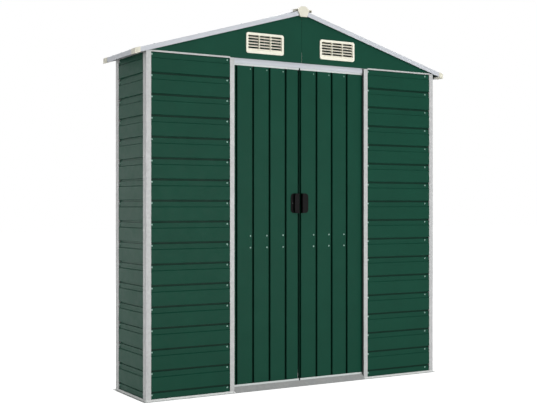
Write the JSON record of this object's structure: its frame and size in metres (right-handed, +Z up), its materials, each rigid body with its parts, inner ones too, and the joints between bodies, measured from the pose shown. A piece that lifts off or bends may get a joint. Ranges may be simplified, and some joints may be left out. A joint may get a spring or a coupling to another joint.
{
  "type": "metal storage shed",
  "caption": "Narrow green metal storage shed with ribbed sheet walls, a low gable roof, louvre vents and a pair of sliding front doors.",
  "frame": {"origin": "on the ground in the middle of the shed's plan", "axes": "+Z up, +X to the right along the front, +Y from the front to the back"},
  "size_m": [1.891, 0.432, 1.9899],
  "materials": {
    "green_sheet": "dark green coated sheet, satin",
    "galvanised_steel": "galvanised, dull with a faint spangle",
    "bright_trim": "pale grey coated trim, satin",
    "cream_plastic": "moulded, slightly glossy",
    "black_plastic": "moulded, fine grain"
  },
  "bodies": {
    "frame": {"base_rail_front_left": "galvanised_steel", "base_rail_front_right": "galvanised_steel", "base_rail_left": "galvanised_steel", "base_rail_right": "galvanised_steel", "base_rail_back": "galvanised_steel", "door_sill": "galvanised_steel", "corner_post_front_left": "galvanised_steel", "corner_post_front_right": "galvanised_steel", "corner_post_back_left": "galvanised_steel", "corner_post_back_right": "galvanised_steel", "door_jamb_left": "galvanised_steel", "door_jamb_right": "galvanised_steel", "back_post": "galvanised_steel", "front_wall_left": "green_sheet", "front_wall_right": "green_sheet", "side_wall_left": "green_sheet", "side_wall_right": "green_sheet", "back_wall_left": "green_sheet", "back_wall_right": "green_sheet", "gable_rail_front": "galvanised_steel", "gable_rail_back": "galvanised_steel", "top_rail_left": "galvanised_steel", "top_rail_right": "galvanised_steel", "door_header": "bright_trim", "door_track": "galvanised_steel", "gable_front_left": "green_sheet", "gable_front_right": "green_sheet", "gable_back_left": "green_sheet", "gable_back_right": "green_sheet", "vents_front": "cream_plastic", "vents_back": "cream_plastic", "ridge_beam": "galvanised_steel", "roof_panel_left": "green_sheet", "roof_panel_right": "green_sheet", "ridge_cap": "bright_trim", "ridge_ends": "cream_plastic", "verge_front_left": "bright_trim", "verge_front_right": "bright_trim", "verge_back_left": "bright_trim", "verge_back_right": "bright_trim", "eave_trim_left": "bright_trim", "eave_trim_right": "bright_trim", "roof_corners": "cream_plastic"},
    "door_left": {"door_left_panel": "green_sheet", "door_left_channels": "bright_trim", "door_left_brace": "galvanised_steel", "door_left_handle": "black_plastic"},
    "door_right": {"door_right_panel": "green_sheet", "door_right_channels": "bright_trim", "door_right_brace": "galvanised_steel", "door_right_handle": "black_plastic"}
  },
  "joints": [
    {"name": "door_left_slide", "type": "slide", "parent": "frame", "child": "door_left", "axis": [-1, 0, 0], "range_m": [0, 0.335]},
    {"name": "door_right_slide", "type": "slide", "parent": "frame", "child": "door_right", "axis": [1, 0, 0], "range_m": [0, 0.335]}
  ]
}
